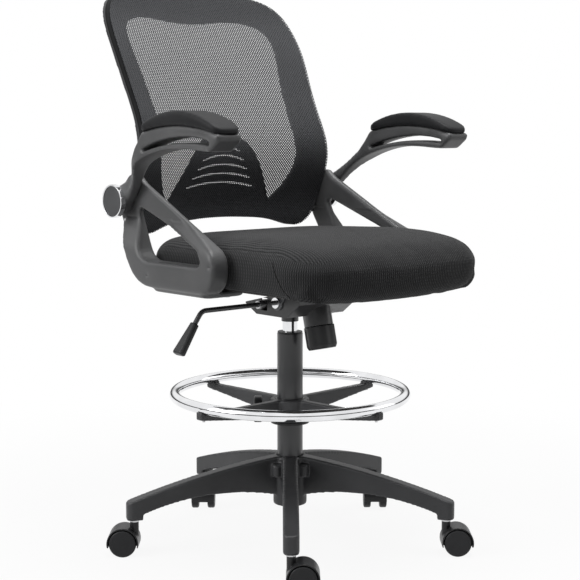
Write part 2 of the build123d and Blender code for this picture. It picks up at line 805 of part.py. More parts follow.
# Seat cushion: drawn in where it meets the board, full at the middle, crowned on top with a falling front
cushion_bottom = board_bottom + body_gap
cushion_height = cushion_crown - cushion_bottom
cushion_levels = (
    # share of the height, inset of the sides, of the front and of the rear, corner radius
    (0.0, 9.0, 16.0, 9.0, 68.0),
    (0.08, 4.0, 7.0, 4.0, 71.0),
    (0.22, 0.0, 0.0, 0.0, 74.0),
    (0.5, 0.0, 0.0, 0.5, 74.0),
    (0.66, 3.0, 6.0, 4.0, 74.0),
    (0.79, 10.0, 18.0, 11.0, 73.0),
    (0.88, 21.0, 40.0, 21.0, 71.0),
    (0.945, 44.0, 74.0, 40.0, 66.0),
    (0.985, 78.0, 115.0, 68.0, 58.0),
    (1.0, 125.0, 165.0, 105.0, 44.0),
)


def cushion_section(share, side_inset, front_inset, rear_inset, corner):
    """Outline of the cushion at a share of its height, on a plane that leans back more towards the top."""
    half = cushion_half_width - side_inset
    front = cushion_front + front_inset
    rear = cushion_rear - rear_inset
    fall = cushion_fall * share / (cushion_rear - cushion_front)
    height = cushion_bottom + cushion_height * share
    plane = Plane(
        origin=(0, cushion_front / 2, height),
        x_dir=(1, 0, 0),
        z_dir=(0, fall, 1),
    )
    near = front - cushion_front / 2
    far = rear - cushion_front / 2
    bow = cushion_bow * (1 - share / 2)
    with BuildSketch(plane) as section:
        with BuildLine():
            ThreePointArc((-half + corner, near + bow), (0, near), (half - corner, near + bow))
            RadiusArc((half - corner, near + bow), (half, near + bow + corner), -corner * 1.02)
            Line((half, near + bow + corner), (half, far - corner))
            RadiusArc((half, far - corner), (half - corner, far), -corner)
            Line((half - corner, far), (-half + corner, far))
            RadiusArc((-half + corner, far), (-half, far - corner), -corner)
            Line((-half, far - corner), (-half, near + bow + corner))
            RadiusArc((-half, near + bow + corner), (-half + corner, near + bow), -corner * 1.02)
        make_face()
    return section.sketch


with BuildPart() as seat_cushion:
    loft([cushion_section(*level) for level in cushion_levels], ruled=True)
    with BuildSketch(Plane.XY.offset(board_bottom)):
        with Locations((0, (board_front + board_rear) / 2)):
            RectangleRounded(
                2 * board_half_width + 2 * body_gap,
                board_rear - board_front + 2 * body_gap,
                board_corner + body_gap,
            )
    extrude(amount=board_thickness + body_gap, mode=Mode.SUBTRACT)
write(seat_cushion, "seat_cushion")

# Side frames: closed loops beside the seat, with a foot under the board, a pivot boss and a horn at the back
frame_outer_x = frame_inner_x + frame_thickness
loop_points = (
    (pivot_y - 38, pivot_z + 48),
    (pivot_y - 56, pivot_z + 33),
    (frame_front, pivot_z - 82),
    (frame_front + 5, frame_bottom),
    (pivot_y - 62, frame_bottom),
    (pivot_y + 14, pivot_z - 32),
    (pivot_y + 26, pivot_z + 12),
    (pivot_y - 10, pivot_z + 48),
)
loop_radii = (8, 30, 36, 34, 75, 30, 25, 10)
window_points = (
    (pivot_y - 32, pivot_z - 4),
    (frame_front + 51, frame_bar_top + 28),
    (frame_front + 29, frame_bar_top),
    (pivot_y - 74, frame_bar_top),
)
window_radii = (8, 20, 9, 40)
front_view = (
    (frame_inner_x, frame_bottom),
    (frame_outer_x, frame_bottom),
    (frame_outer_x, frame_shoulder_z),
    (frame_boss_x, frame_neck_z),
    (frame_boss_x, pivot_z + 100),
    (frame_inner_x, pivot_z + 100),
)
front_view_radii = (0, 6, 60, 30, 0, 0)
access_holes = ((frame_front + 10, frame_bar_top + 3), (pivot_y - 96, frame_bottom + 20))

for side_name, side in sides:
    with BuildPart() as side_frame:
        with BuildSketch(Plane.YZ.offset(side * frame_inner_x)):
            with BuildLine():
                FilletPolyline(*loop_points, radius=loop_radii, close=True)
            make_face()
            with Locations((pivot_y, pivot_z)):
                Circle(frame_boss_radius)
            with BuildLine():
                FilletPolyline(*window_points, radius=window_radii, close=True)
            make_face(mode=Mode.SUBTRACT)
        extrude(amount=side * frame_thickness)
        with BuildSketch(Plane.XZ):
            with BuildLine():
                FilletPolyline(*[(side * x, z) for x, z in front_view], radius=front_view_radii, close=True)
            make_face()
        extrude(amount=2 * pivot_z, both=True, mode=Mode.INTERSECT)
        with BuildSketch(Plane.XY.offset(board_bottom - foot_thickness)):
            with Locations((side * (foot_inner_x + foot_outer_x) / 2, (foot_front + foot_rear) / 2)):
                RectangleRounded(foot_outer_x - foot_inner_x, foot_rear - foot_front, plate_corner)
        extrude(amount=foot_thickness)
        with BuildSketch(Plane.XY.offset(board_bottom - foot_thickness)):
            for bolt_y in foot_bolt_ys:
                with Locations((side * foot_bolt_x, bolt_y)):
                    Circle(seat_bolt_radius + touch_gap)
        extrude(amount=foot_thickness, mode=Mode.SUBTRACT)
        with BuildSketch(Plane.YZ.offset(side * frame_inner_x)):
            with Locations((pivot_y, pivot_z)):
                Circle(pin_radius + touch_gap)
            with Locations(*back_bolt_places):
                Circle(back_bolt_radius + touch_gap)
        extrude(amount=side * frame_thickness, mode=Mode.SUBTRACT)
        with BuildSketch(Plane.YZ.offset(side * frame_outer_x)):
            with Locations(*access_holes):
                Circle(access_hole_radius)
        extrude(amount=-side * access_hole_depth, mode=Mode.SUBTRACT)
    write(side_frame, f"{side_name}_side_frame")

with BuildPart() as side_frame_bolts:
    for side_name, side in sides:
        for bolt_y in foot_bolt_ys:
            with BuildSketch(Plane.XY.offset(board_bottom - foot_thickness)):
                with Locations((side * foot_bolt_x, bolt_y)):
                    Circle(seat_bolt_radius)
            extrude(amount=foot_thickness + board_thickness * 0.7)
            with BuildSketch(Plane.XY.offset(board_bottom - foot_thickness)):
                with Locations((side * foot_bolt_x, bolt_y)):
                    Circle(seat_bolt_head_radius)
            extrude(amount=-seat_bolt_head_height)
write(side_frame_bolts, "side_frame_bolts")

# Arm pivots: a pin through boss and arm, a domed cap on its end and a bright ring round the cap
arm_inner_x = frame_boss_x + body_gap
cap_inner_x = arm_inner_x + arm_boss_width + body_gap
pin_end_x = cap_inner_x + cap_height / 3

with BuildPart() as pivot_pins:
    for side_name, side in sides:
        with BuildSketch(Plane.YZ.offset(side * (frame_inner_x + body_gap))):
            with Locations((pivot_y, pivot_z)):
                Circle(pin_radius)
        extrude(amount=side * (pin_end_x - frame_inner_x - body_gap))
write(pivot_pins, "pivot_pins")

with BuildPart() as pivot_caps:
    for side_name, side in sides:
        with BuildSketch(Plane.YZ.offset(side * cap_inner_x)):
            with Locations((pivot_y, pivot_z)):
                Circle(cap_radius)
        extrude(amount=side * cap_height)
        with BuildSketch(Plane.YZ.offset(side * cap_inner_x)):
            with Locations((pivot_y, pivot_z)):
                Circle(pin_radius + touch_gap)
        extrude(amount=side * (pin_end_x - cap_inner_x), mode=Mode.SUBTRACT)
    rims = pivot_caps.edges().filter_by(GeomType.CIRCLE)
    rims = rims.filter_by(lambda e: abs(e.center().X) > cap_inner_x + cap_height - touch_gap)
    fillet(rims, radius=cap_dome)
write(pivot_caps, "pivot_caps")

with BuildPart() as pivot_trim_rings:
    for side_name, side in sides:
        with BuildSketch(Plane.YZ.offset(side * cap_inner_x)):
            with Locations((pivot_y, pivot_z)):
                Circle(cap_radius + touch_gap + trim_width)
                Circle(cap_radius + touch_gap, mode=Mode.SUBTRACT)
        extrude(amount=side * trim_height)
write(pivot_trim_rings, "pivot_trim_rings")

# Armrests: a broad band from the pivot boss that forks round a long slot and closes in a front block
arm_plane = Plane(origin=(0, pivot_y, pivot_z), x_dir=(0, 1, 0), z_dir=(1, 0, 0))
arm_top_rear = (-130.0, 125.0)
arm_top_middle = (-239.0, 137.0)
arm_top_front = (-348.0, 121.0)
arm_back_points = ((0.0, 25.5), (-30.0, 37.0), (-61.0, 56.0), (-102.0, 91.0), arm_top_rear)
arm_nose = ((-347.0, 112.0), (-325.0, 95.0), (-300.0, 95.5))
arm_under_points = (
    arm_nose[2],
    (-239.0, 98.5),
    (-192.0, 96.0),
    (-137.0, 84.0),
    (-89.0, 62.0),
    (-62.0, 36.0),
    (-25.0, -2.0),
)
slot_rear = -132.0
slot_front = -326.0
slot_middle = -232.0
slot_top = arm_top_middle[1] - 19
slot_low = slot_top - 11
arm_plan = (
    (arm_inner_x, 40.0),
    (arm_inner_x, -32.0),
    (arm_bar_inner_x, -102.0),
    (arm_bar_inner_x, -290.0),
    (arm_block_inner_x, -325.0),
    (arm_block_inner_x, -360.0),
    (arm_block_outer_x, -360.0),
    (arm_block_outer_x, -325.0),
    (arm_bar_outer_x, -290.0),
    (arm_bar_outer_x, -102.0),
    (arm_inner_x + arm_boss_width, -52.0),
    (arm_inner_x + arm_boss_width, 40.0),
)
arm_plan_radii = (0, 60, 60, 30, 20, 0, 0, 20, 30, 60, 60, 0)
pad_centre_x = (arm_block_inner_x + arm_block_outer_x) / 2

for side_name, side in sides:
    with BuildPart() as armrest:
        with BuildSketch(arm_plane):
            with BuildLine():
                Spline(*arm_back_points)
                ThreePointArc(arm_top_rear, arm_top_middle, arm_top_front)
                Polyline(arm_top_front, *arm_nose)
                Spline(*arm_under_points)
                Line(arm_under_points[-1], arm_back_points[0])
            make_face()
            Circle(arm_boss_radius)
            with BuildLine():
                ThreePointArc((slot_rear, slot_top - 20), (slot_middle, slot_top), (slot_front, slot_top - 7))
                Line((slot_front, slot_top - 7), (slot_front, slot_low - 4))
                ThreePointArc((slot_front, slot_low - 4), (slot_middle, slot_low), (slot_rear, slot_low - 16))
                Line((slot_rear, slot_low - 16), (slot_rear, slot_top - 20))
            make_face(mode=Mode.SUBTRACT)
            Circle(pin_radius + running_gap, mode=Mode.SUBTRACT)
        extrude(amount=side * (arm_block_outer_x + pad_half_width))
        with BuildSketch(Plane.XY.offset(pivot_z)):
            with BuildLine():
                plan = [(side * x, pivot_y + y) for x, y in arm_plan]
                FilletPolyline(*plan, radius=arm_plan_radii, close=True)
            make_face()
        extrude(amount=pivot_z, both=True, mode=Mode.INTERSECT)
    write(armrest, f"{side_name}_armrest")

    with BuildPart() as arm_pad:
        with BuildSketch(arm_plane.offset(side * (pad_centre_x - pad_half_width))):
            with BuildLine():
                rise = Vector(0, body_gap)
                low_rear = Vector(arm_top_rear) + rise
                low_middle = Vector(arm_top_middle) + rise
                low_front = Vector(arm_top_front) + rise
                rear_lip = low_rear + Vector(6, pad_lip)
                front_lip = low_front + Vector(-5, pad_lip)
                ThreePointArc(low_rear, low_middle, low_front)
                Line(low_front, front_lip)
                ThreePointArc(front_lip, low_middle + Vector(0, pad_crown), rear_lip)
                Line(rear_lip, low_rear)
            make_face()
        extrude(amount=side * 2 * pad_half_width)
        with BuildSketch(Plane.XY.offset(pivot_z)):
            with Locations((side * pad_centre_x, pivot_y + (low_rear.X + low_front.X) / 2)):
                RectangleRounded(2 * pad_half_width - 1, low_rear.X - low_front.X + 2, pad_corner)
        extrude(amount=pivot_z, mode=Mode.INTERSECT)
    write(arm_pad, f"{side_name}_arm_pad")

# Back: everything follows one curved surface, cut to an outline seen from the front
back_outline = (
    (0.0, 602.0),
    (80.0, 599.0),
    (150.0, 588.0),
    (188.0, 581.0),
    (213.0, 603.0),
    (224.0, 650.0),
    (226.5, 700.0),
    (225.0, 745.0),
    (221.0, 800.0),
    (223.0, 860.0),
    (226.5, 915.0),
    (225.0, 960.0),
    (211.0, 1003.0),
    (173.0, 1031.0),
    (96.0, 1043.0),
    (0.0, 1046.0),
)
back_window = (
    (0.0, 981.0),
    (80.0, 987.0),
    (148.0, 983.0),
    (178.0, 966.0),
    (184.0, 940.0),
    (179.0, 890.0),
    (172.0, 830.0),
    (171.0, band_top + 138),
    (174.0, band_top + 88),
    (162.0, band_top + 44),
    (128.0, band_top),
)
lumbar_edge = (
    (126.0, band_top),
    (95.0, band_top + 62),
    (66.0, band_top + 106),
    (34.0, band_top + 132),
    (0.0, band_top + 140),
)


def back_section(height, middle_y, front_gap, depth):
    """Outline of one layer of the back at a height: two arcs bowed towards the rear."""
    sag = back_sag_radius - (back_sag_radius**2 - back_half_width**2) ** 0.5
    front = middle_y + front_gap
    rear = front + depth
    with BuildSketch(Plane.XY.offset(height)) as section:
        with BuildLine():
            ThreePointArc((-back_half_width, front - sag), (0, front), (back_half_width, front - sag))
            Line((back_half_width, front - sag), (back_half_width, rear - sag))
            ThreePointArc((back_half_width, rear - sag), (0, rear), (-back_half_width, rear - sag))
            Line((-back_half_width, rear - sag), (-back_half_width, front - sag))
        make_face()
    return section.sketch


def back_layer(front_gap, depth):
    """Sections of one layer of the back, from bottom to top."""
    return [back_section(height, middle_y, front_gap, depth) for height, middle_y in back_line]


with BuildSketch(Plane.XZ) as back_face:
    with BuildLine():
        Spline(*back_outline, tangents=((1, 0), (-1, 0)))
        Spline(*[(-x, z) for x, z in back_outline], tangents=((-1, 0), (1, 0)))
    make_face()

with BuildSketch(Plane.XZ) as window_face:
    with BuildLine():
        Spline(*back_window)
        Spline(*[(-x, z) for x, z in back_window])
        Line((-back_window[-1][0], band_top), (back_window[-1][0], band_top))
    make_face()

with BuildPart() as back_mesh:
    loft(back_layer(0, mesh_thickness))
    extrude(back_face.sketch, amount=2 * back_half_width, both=True, mode=Mode.INTERSECT)
write(back_mesh, "back_mesh")

with BuildPart() as back_frame:
    loft(back_layer(mesh_thickness + body_gap, frame_depth))
    extrude(back_face.sketch, amount=2 * back_half_width, both=True, mode=Mode.INTERSECT)
    extrude(window_face.sketch, amount=2 * back_half_width, both=True, mode=Mode.SUBTRACT)
    for side_name, side in sides:
        with BuildSketch(Plane.YZ.offset(side * frame_inner_x)):
            with Locations(*back_bolt_places):
                Circle(back_bolt_radius + touch_gap)
        extrude(amount=-side * (back_bolt_grip + body_gap), mode=Mode.SUBTRACT)
write(back_frame, "back_frame")

with BuildPart() as lumbar_panel:
    loft(back_layer(mesh_thickness + lumbar_gap, lumbar_thickness))
    with BuildSketch(Plane.XZ):
        with BuildLine():
            Spline(*lumbar_edge, tangents=((-0.4, 1), (-1, 0)))
            Spline(*[(-x, z) for x, z in lumbar_edge], tangents=((0.4, 1), (1, 0)))
            Line((-lumbar_edge[0][0], band_top), (lumbar_edge[0][0], band_top))
        make_face()
        for index in range(slot_count):
            slot_end = slot_first_half_length - slot_shortening * index
            slot_height = band_top + slot_first_rise + slot_pitch * index
            with BuildLine(mode=Mode.PRIVATE) as slot_line:
                ThreePointArc(
                    (-slot_end, slot_height),
                    (0, slot_height + slot_rise),
                    (slot_end, slot_height),
                )
            SlotArc(slot_line.edge(), slot_width, mode=Mode.SUBTRACT)
    extrude(amount=2 * back_half_width, both=True, mode=Mode.INTERSECT)
write(lumbar_panel, "lumbar_panel")

with BuildPart() as back_bolts:
    for side_name, side in sides:
        with BuildSketch(Plane.YZ.offset(side * frame_boss_x)):
            with Locations(*back_bolt_places):
                Circle(back_bolt_radius)
        extrude(amount=-side * (frame_boss_x - frame_inner_x + back_bolt_grip))
write(back_bolts, "back_bolts")
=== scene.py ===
import json
import math

import bmesh
import bpy
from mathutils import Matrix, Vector
from mathutils.bvhtree import BVHTree


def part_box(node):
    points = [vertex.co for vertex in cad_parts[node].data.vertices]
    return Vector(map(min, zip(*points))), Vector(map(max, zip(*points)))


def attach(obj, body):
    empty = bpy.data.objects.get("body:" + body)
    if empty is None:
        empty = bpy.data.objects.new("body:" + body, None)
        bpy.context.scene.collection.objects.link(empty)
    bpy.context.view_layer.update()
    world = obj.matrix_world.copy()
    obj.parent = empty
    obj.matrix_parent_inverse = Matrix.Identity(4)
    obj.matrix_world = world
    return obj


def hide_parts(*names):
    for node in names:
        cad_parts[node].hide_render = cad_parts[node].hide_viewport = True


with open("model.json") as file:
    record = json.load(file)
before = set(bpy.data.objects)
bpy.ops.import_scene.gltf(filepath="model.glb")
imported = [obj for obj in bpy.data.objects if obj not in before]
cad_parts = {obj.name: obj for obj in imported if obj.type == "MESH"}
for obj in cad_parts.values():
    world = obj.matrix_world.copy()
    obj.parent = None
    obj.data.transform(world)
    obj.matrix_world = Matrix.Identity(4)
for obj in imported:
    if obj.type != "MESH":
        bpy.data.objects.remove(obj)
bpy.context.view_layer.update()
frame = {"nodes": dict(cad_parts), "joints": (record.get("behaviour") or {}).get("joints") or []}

nodes = frame["nodes"]


# Star base: one glass-filled nylon moulding, five arched legs round a hub, with the fine spark-eroded grain
# of its tool and soft edges all over. It is eased from the frame's solid so that no edge is left sharp.
class Shade:
    """One socket of a material's node tree. Sums, differences and products of sockets add Math nodes."""

    def __init__(self, tree, socket=None):
        self.tree = tree
        self.socket = socket

    def node(self, kind, out=0, inputs=None, **settings):
        """Any node by type, with its settings, then the values or links of its sockets."""
        made = self.tree.nodes.new("ShaderNode" + kind)
        for key, value in settings.items():
            setattr(made, key, value)
        for key, value in (inputs or {}).items():
            if isinstance(value, Shade):
                self.tree.links.new(value.socket, made.inputs[key])
            else:
                made.inputs[key].default_value = value
        return Shade(self.tree, made.outputs[out])

    def math(self, operation, a, b=0.0):
        return self.node("Math", operation=operation, inputs={0: a, 1: b})

    def __add__(self, other):
        return self.math("ADD", self, other)

    __radd__ = __add__

    def __sub__(self, other):
        return self.math("SUBTRACT", self, other)

    def __rsub__(self, other):
        return self.math("SUBTRACT", other, self)

    def __mul__(self, other):
        return self.math("MULTIPLY", self, other)

    __rmul__ = __mul__

    def sin(self):
        return self.math("SINE", self)

    def size(self):
        return self.math("ABSOLUTE", self)

    def clamp(self):
        return self.node("Clamp", inputs={"Value": self})

    def between(self, low, high):
        """0 below low, 1 above high, smooth between."""
        sockets = {"Value": self, "From Min": low, "From Max": high}
        return self.node("MapRange", interpolation_type="SMOOTHSTEP", inputs=sockets)

    def mix(self, dark, light):
        """Colour from dark to light as this value goes from 0 to 1."""
        return self.node("Mix", out=2, data_type="RGBA", inputs={0: self, 6: dark, 7: light})


def new_material(name, **sockets):
    """A material with its constant sockets set; gives it, its Shade, Object coordinates and shader."""
    material = bpy.data.materials.new(name)
    material.use_nodes = True
    shader = material.node_tree.nodes["Principled BSDF"]
    for socket, value in sockets.items():
        shader.inputs[socket.replace("_", " ")].default_value = value
    shade = Shade(material.node_tree)
    return material, shade, shade.node("TexCoord", out="Object"), shader


def feed(shade, shader, **sockets):
    """Links values into the shader's sockets."""
    for socket, value in sockets.items():
        shade.tree.links.new(value.socket, shader.inputs[socket.replace("_", " ")])


def moulded(name, colour, rough, grain=900.0, bump=0.12, round_edge=0.0012, gloss=0.35):
    """Moulded plastic: tool grain as a fine bump, slow changes of gloss from handling, and rounded edges."""
    material, shade, place, shader = new_material(name, Specular_IOR_Level=gloss)
    fine = shade.node("TexNoise", inputs={"Vector": place, "Scale": grain, "Detail": 2.0})
    broad = shade.node("TexNoise", inputs={"Vector": place, "Scale": 9.0, "Detail": 3.0})
    light = tuple(min(1.0, c * 1.35 + 0.004) for c in colour)
    edge = shade.node("Bevel", samples=4, inputs={"Radius": round_edge})
    normal = shade.node(
        "Bump", inputs={"Strength": bump, "Distance": 0.0004, "Height": fine, "Normal": edge}
    )
    tint = broad.between(0.3, 0.75).mix((*colour, 1), (*light, 1))
    feed(shade, shader, Base_Color=tint, Roughness=broad * 0.14 + (rough - 0.07), Normal=normal)
    return material


def dress(material, *names):
    """Gives carried-over frame nodes a material."""
    for name in names:
        for slot in nodes[name].material_slots:
            slot.material = material


def eased(node, name, voxel, rounds, swell=0.0):
    """Copy of a node's solid with even faces and soft edges, at the same place."""
    mesh = nodes[node].data.copy()
    mesh.materials.clear()
    bm = bmesh.new()
    bm.from_mesh(mesh)
    bmesh.ops.remove_doubles(bm, verts=bm.verts, dist=1e-5)
    bm.to_mesh(mesh)
    bm.free()
    piece = bpy.data.objects.new(name, mesh)
    bpy.context.scene.collection.objects.link(piece)
    remesh = piece.modifiers.new("even", "REMESH")
    remesh.mode = "VOXEL"
    remesh.voxel_size = voxel
    if swell:
        push = piece.modifiers.new("swell", "DISPLACE")
        push.strength = swell
        push.mid_level = 0.0
    ease = piece.modifiers.new("ease", "SMOOTH")
    ease.factor = 0.5
    ease.iterations = rounds
    graph = bpy.context.evaluated_depsgraph_get()
    done = bpy.data.meshes.new_from_object(piece.evaluated_get(graph))
    piece.modifiers.clear()
    piece.data = done
    done.shade_smooth()
    return piece


def fit(piece, material, body, slot, *replaced):
    """Puts a finished piece on its body, in place of the nodes it stands for."""
    piece.data.materials.append(material)
    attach(piece, body)
    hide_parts(*replaced)


base_nylon = moulded("base_nylon", (0.033, 0.0335, 0.0355), 0.42)
star = eased("star_base", "star_base_moulding", 0.0022, 6, 0.0006)
fit(star, base_nylon, "base", "black_nylon", "star_base")

# Casters: nylon hoods and twin wheels, with bright stems and axles. Hoods and wheels come from the same
# moulder as the base, the wheels a little greyer and duller where they roll.
hood_nylon = moulded("hood_nylon", (0.013, 0.0133, 0.0145), 0.34, round_edge=0.0015, gloss=0.3)
wheel_nylon = moulded("wheel_nylon", (0.014, 0.0143, 0.0155), 0.45, gloss=0.25, grain=600.0, round_edge=0.001)


def metal(name, colour, rough, streak=0.0, edge=0.0006):
    """Plated or bare metal: faint clouding of the plating, and drawn streaks where asked."""
    material, shade, place, shader = new_material(name, Metallic=1.0)
    stretched = shade.node("Mapping", inputs={"Vector": place, "Scale": (1.0, 1.0, 60.0)})
    cloud = shade.node("TexNoise", inputs={"Vector": place, "Scale": 24.0, "Detail": 4.0})
    lines = shade.node("TexNoise", inputs={"Vector": stretched, "Scale": 90.0, "Detail": 2.0})
    dull = tuple(c * 0.86 for c in colour)
    tint = cloud.between(0.25, 0.8).mix((*dull, 1), (*colour, 1))
    soft = shade.node("Bevel", samples=4, inputs={"Radius": edge})
    feed(shade, shader, Base_Color=tint, Roughness=cloud * 0.06 + lines * streak + rough, Normal=soft)
    return material


zinc_steel = metal("zinc_steel", (0.62, 0.62, 0.63), 0.24, 0.15)
bright_chrome = metal("bright_chrome", (0.88, 0.885, 0.9), 0.035)
for number in range(1, 6):
    dress(hood_nylon, f"caster_{number}_housing")
    dress(zinc_steel, f"caster_{number}_pins")
    dress(wheel_nylon, f"caster_{number}_left_wheel", f"caster_{number}_right_wheel")

# Column: a powder-coated steel tube with a plastic guide bush in its mouth and the gas lift's chromed
# cylinder above it. The small steel pieces in its foot are zinc plated.
def enamel(name, colour, rough):
    """Powder coat: slight orange peel under an even satin film."""
    material, shade, place, shader = new_material(name, Coat_Weight=0.25, Coat_Roughness=0.2)
    peel = shade.node("TexNoise", inputs={"Vector": place, "Scale": 260.0, "Detail": 1.0})
    broad = shade.node("TexNoise", inputs={"Vector": place, "Scale": 12.0, "Detail": 2.0})
    light = tuple(c * 1.3 + 0.003 for c in colour)
    soft = shade.node("Bevel", samples=4, inputs={"Radius": 0.0008})
    normal = shade.node("Bump", inputs={"Strength": 0.1, "Distance": 0.0005, "Height": peel, "Normal": soft})
    tint = broad.between(0.3, 0.7).mix((*colour, 1), (*light, 1))
    feed(shade, shader, Base_Color=tint, Roughness=broad * 0.1 + (rough - 0.05), Normal=normal)
    return material


black_enamel = enamel("black_enamel", (0.019, 0.0195, 0.021), 0.34)
dress(black_enamel, "column_tube")
small_plastic = moulded("small_plastic", (0.009, 0.0093, 0.0102), 0.36, round_edge=0.0014)
dress(small_plastic, "column_guide_bush", "foot_ring_sleeve")
dress(bright_chrome, "gas_cylinder")
dress(zinc_steel, "thrust_bearing", "piston_rod", "rod_clip", "release_button", "release_arm")

# Foot ring: a chromed steel tube bent to a ring and screwed to the spokes of a nylon spider. The spider turns
# on a plastic sleeve, and a clamp knob locks the sleeve to the column.
dress(bright_chrome, "foot_ring")
spider = eased("foot_ring_spider", "foot_ring_spider_moulding", 0.0018, 5, 0.0003)
fit(spider, base_nylon, "foot_ring", "black_nylon", "foot_ring_spider")
dress(zinc_steel, "foot_ring_screws")
dress(small_plastic, "foot_ring_knob")

# Mechanism: a pressed steel pan and plate in black powder coat, with a bright tilt axle and zinc-plated inner
# pieces, a lever rod bent from bar with a plastic grip, and a moulded tension knob with six flats.
dress(black_enamel, "mechanism_housing", "lever_rod")
pan_enamel = enamel("pan_enamel", (0.06, 0.062, 0.066), 0.3)
dress(pan_enamel, "seat_plate")
dress(bright_chrome, "tilt_axle")
dress(zinc_steel, "tension_bolt", "tilt_spring")
knob = eased("tension_knob", "tension_knob_moulding", 0.0011, 4, 0.0002)
turn = next(joint for joint in frame["joints"] if joint["name"] == "tension_turn")
knob_foot = Vector(turn["pos_m"])
knob_axis = Vector(turn["axis"]).normalized()
first_flat = Vector((0, -1, 0)).cross(knob_axis).cross(knob_axis).normalized()
knob_neck = 0.014
flat_count = 6
flat_depth = 0.0012
for vert in knob.data.vertices:
    out = vert.co - knob_foot
    out -= knob_axis * out.dot(knob_axis)
    angle = math.atan2(out.dot(knob_axis.cross(first_flat)), out.dot(first_flat))
    if out.length > knob_neck:
        vert.co -= out.normalized() * flat_depth * (1 + math.cos(flat_count * angle))
fit(knob, small_plastic, "tension_knob", "black_plastic", "tension_knob")
grip = eased("lever_grip", "lever_grip_moulding", 0.0009, 6, 0.0002)
fit(grip, small_plastic, "lever", "black_plastic", "lever_grip")

# Seat board: pressed plywood under the cushion, stained dark. Zinc-plated bolts join it to the mechanism
# and the side frames, and the back to those frames. Pins of the same steel carry the arms.
board_ply, shade, place, shader = new_material("board_ply", Roughness=0.7)
grain_place = shade.node("Mapping", inputs={"Vector": place, "Scale": (1.0, 14.0, 60.0)})
rings = shade.node("TexNoise", inputs={"Vector": grain_place, "Scale": 12.0, "Detail": 5.0})
feed(shade, shader, Base_Color=rings.between(0.3, 0.75).mix((0.03, 0.027, 0.024, 1), (0.055, 0.05, 0.045, 1)))
dress(board_ply, "seat_board")
dress(zinc_steel, "seat_bolts", "side_frame_bolts", "back_bolts", "pivot_pins")


# Seat cushion: moulded foam in a knitted spacer fabric, crowned, with a falling front edge and sides that
# draw in to the board. The cover is sewn from a top and a side band, with a seam at each front corner.
seat_low, seat_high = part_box("seat_cushion")
board_low, board_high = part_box("seat_board")
front_drop = 0.012
front_fall = 0.012
cushion_corner = 0.074
seam_top = Vector((0, -0.203, seat_low.z + 0.062))
seam_foot = Vector((0, -0.24, seat_low.z))
seam_width = (0.0008, 0.0024)
seam_inner = (0.2, 0.208)
seam_fade = 0.006
cloth_steps = 20
smooth_rounds = 4


def round_distance(place):
    """How far a place lies along the cushion's outline from the middle of its front, signed by side."""
    turn = cushion_corner
    half = seat_high.x - turn
    front = seat_low.y + turn
    rear = seat_high.y - turn
    over_x = max(0.0, abs(place.x) - half)
    over_y = max(front - place.y, place.y - rear, 0.0)
    quarter = turn * math.atan2(over_x, max(over_y, 1e-6))
    along = min(abs(place.x), half) + quarter + min(max(place.y, front), rear) - front
    if place.y > rear:
        along = 2 * half + rear - front + turn * math.pi - min(abs(place.x), half) - quarter
    return math.copysign(along, place.x)


def panel_places(piece):
    """UV in metres, panel by panel: ribs run front to back on the top and upright round the sides."""
    layer = piece.data.uv_layers.new(name="panels")
    for face in piece.data.polygons:
        flat = abs(face.normal.z) > 0.6
        for corner in face.loop_indices:
            place = piece.data.vertices[piece.data.loops[corner].vertex_index].co
            layer.data[corner].uv = (place.x, place.y) if flat else (round_distance(place), place.z)


def ramp(value, start, end):
    """0 at start, 1 at end, smooth between."""
    share = min(1.0, max(0.0, (value - start) / (end - start)))
    return share * share * (3 - 2 * share)


def knitted(name, dark, light, rib, row):
    """Ribbed spacer fabric: small cells between raised ribs, slow changes of tone, and corner seams dented
    and painted near-black as painted shade.
    """
    material, shade, place, shader = new_material(
        name, Roughness=0.82, Specular_IOR_Level=0.1, Sheen_Weight=0.08, Sheen_Roughness=0.45
    )
    panel = shade.node("TexCoord", out="UV")
    loose = shade.node("TexNoise", inputs={"Vector": place, "Scale": 70.0, "Detail": 1.0}) * 0.0012
    across = shade.node("SeparateXYZ", out=0, inputs={"Vector": panel}) + loose
    along = shade.node("SeparateXYZ", out=1, inputs={"Vector": panel}) + loose
    ribs = (across * (2 * math.pi / rib)).sin()
    rows = (along * (2 * math.pi / row)).sin()
    raised = (ribs * 0.7 + ribs * rows * 0.6).between(-0.8, 0.9)
    broad = shade.node("TexNoise", inputs={"Vector": place, "Scale": 7.0, "Detail": 4.0})
    tone = broad.mix((0.75, 0.75, 0.75, 1), (1.2, 1.2, 1.2, 1))
    cell = raised.mix((*dark, 1), (*light, 1))
    both = {0: 1.0, 6: cell, 7: tone}
    toned = shade.node("Mix", out=2, data_type="RGBA", blend_type="MULTIPLY", inputs=both)
    side, fore, high = (shade.node("SeparateXYZ", out=i, inputs={"Vector": place}) for i in range(3))
    lean = (seam_top.y - seam_foot.y) / (seam_top.z - seam_foot.z)
    off_seam = (fore - (high - seam_foot.z) * lean - seam_foot.y).size()
    seam_dent_and_shade = (1 - off_seam.between(*seam_width)) * side.size().between(*seam_inner)
    seam_dent_and_shade = seam_dent_and_shade * (1 - high.between(seam_top.z - seam_fade, seam_top.z))
    # Painted shade: the seam line is painted near-black for the shade that falls in its crease.
    tint = shade.node("Mix", out=2, data_type="RGBA", inputs={0: seam_dent_and_shade, 6: toned, 7: (0.003, 0.003, 0.003, 1)})
    normal = shade.node("Bump", inputs={"Strength": 0.55, "Distance": 0.0012, "Height": raised - seam_dent_and_shade * 2.5})
    feed(shade, shader, Base_Color=tint, Normal=normal)
    return material


